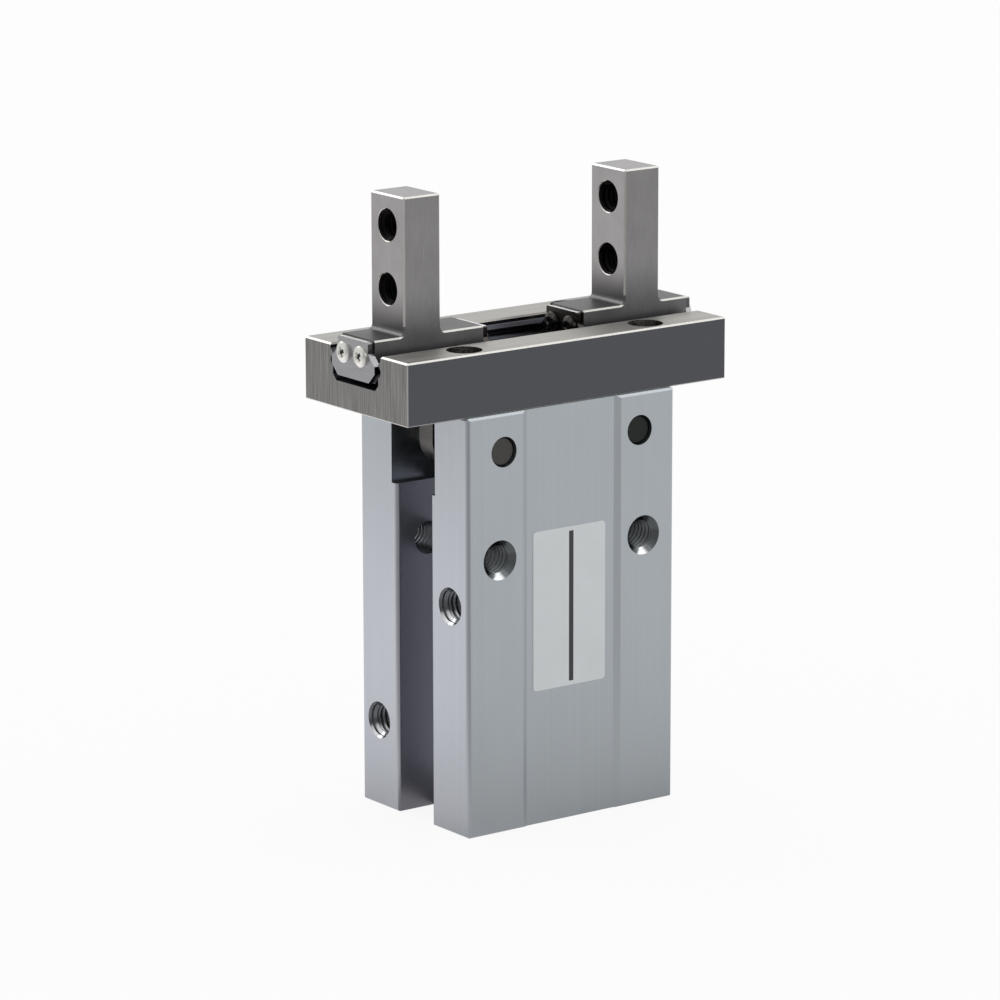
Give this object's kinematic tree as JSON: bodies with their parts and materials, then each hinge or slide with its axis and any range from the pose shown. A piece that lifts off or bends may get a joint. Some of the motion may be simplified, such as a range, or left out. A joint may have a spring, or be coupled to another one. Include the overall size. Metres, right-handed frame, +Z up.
{
  "type": "pneumatic parallel gripper",
  "caption": "Pneumatic parallel gripper: slotted aluminium cylinder body under a wide steel ball guide, on which upright drilled fingers slide together and apart.",
  "frame": {"origin": "centre of the housing's base", "axes": "+X along the finger travel with the air ports on the -X face, -Y to the label side, +Z up to the finger tips"},
  "size_m": [0.0366, 0.0164, 0.0572],
  "materials": {
    "body_anodised": "fine satin, clear hard anodised",
    "guide_steel": "ground, brushed on the ends",
    "finger_steel": "ground",
    "stop_steel": "rolled sheet",
    "small_screw_steel": "bright",
    "guide_screw_steel": "black oxide",
    "pin_steel": "hardened, dark",
    "ball_steel": "polished",
    "lever_steel": "hardened, ground on the sides",
    "piston_aluminium": "hard anodised",
    "cap_aluminium": "turned, clear anodised",
    "ring_steel": "phosphated spring steel",
    "seal_rubber": "moulded, matt",
    "bumper_rubber": "moulded, matt",
    "magnet_rubber": "rubber-bonded magnet"
  },
  "bodies": {
    "housing": {"body_block": "body_anodised", "guide_rail": "guide_steel", "guide_screws": "guide_screw_steel", "guide_dowels": "pin_steel", "lever_pin_left": "pin_steel", "lever_pin_right": "pin_steel", "rod_seal": "seal_rubber", "end_cap": "cap_aluminium", "cap_o_ring": "seal_rubber", "retaining_ring": "ring_steel", "bumper": "bumper_rubber"},
    "piston": {"piston_rod": "piston_aluminium", "piston_seal": "seal_rubber", "piston_magnet": "magnet_rubber"},
    "lever_left": {"lever_left": "lever_steel"},
    "lever_right": {"lever_right": "lever_steel"},
    "finger_left": {"finger_left": "finger_steel", "ball_stop_left_outer": "stop_steel", "ball_stop_left_inner": "stop_steel", "stop_screws_left": "small_screw_steel"},
    "finger_right": {"finger_right": "finger_steel", "ball_stop_right_outer": "stop_steel", "ball_stop_right_inner": "stop_steel", "stop_screws_right": "small_screw_steel"},
    "balls_left": {"balls_left_front": "ball_steel", "balls_left_back": "ball_steel"},
    "balls_right": {"balls_right_front": "ball_steel", "balls_right_back": "ball_steel"}
  },
  "joints": [
    {"name": "piston_slide", "type": "slide", "parent": "housing", "child": "piston", "axis": [0, 0, -1], "range_m": [0, 0.00275]},
    {"name": "finger_left_slide", "type": "slide", "parent": "housing", "child": "finger_left", "axis": [1, 0, 0], "range_m": [0, 0.00401]},
    {"name": "lever_left_pivot", "type": "hinge", "parent": "housing", "child": "lever_left", "pos_m": [-0.00754, 0, 0.0347], "axis": [0, 1, 0], "range_deg": [0, 29.84]},
    {"name": "balls_left_slide", "type": "slide", "parent": "housing", "child": "balls_left", "axis": [1, 0, 0], "range_m": [0, 0.00201]},
    {"name": "finger_right_slide", "type": "slide", "parent": "housing", "child": "finger_right", "axis": [-1, 0, 0], "range_m": [0, 0.00401]},
    {"name": "lever_right_pivot", "type": "hinge", "parent": "housing", "child": "lever_right", "pos_m": [0.00754, 0, 0.0347], "axis": [0, -1, 0], "range_deg": [0, 29.84]},
    {"name": "balls_right_slide", "type": "slide", "parent": "housing", "child": "balls_right", "axis": [-1, 0, 0], "range_m": [0, 0.00201]}
  ],
  "couplings": [
    {"joint": "finger_left_slide", "follows": "piston_slide", "ratio": 1.4551},
    {"joint": "lever_left_pivot", "follows": "piston_slide", "rad_per_m": 189.4},
    {"joint": "balls_left_slide", "follows": "piston_slide", "ratio": 0.72753},
    {"joint": "finger_right_slide", "follows": "piston_slide", "ratio": 1.4551},
    {"joint": "lever_right_pivot", "follows": "piston_slide", "rad_per_m": 189.4},
    {"joint": "balls_right_slide", "follows": "piston_slide", "ratio": 0.72753}
  ]
}
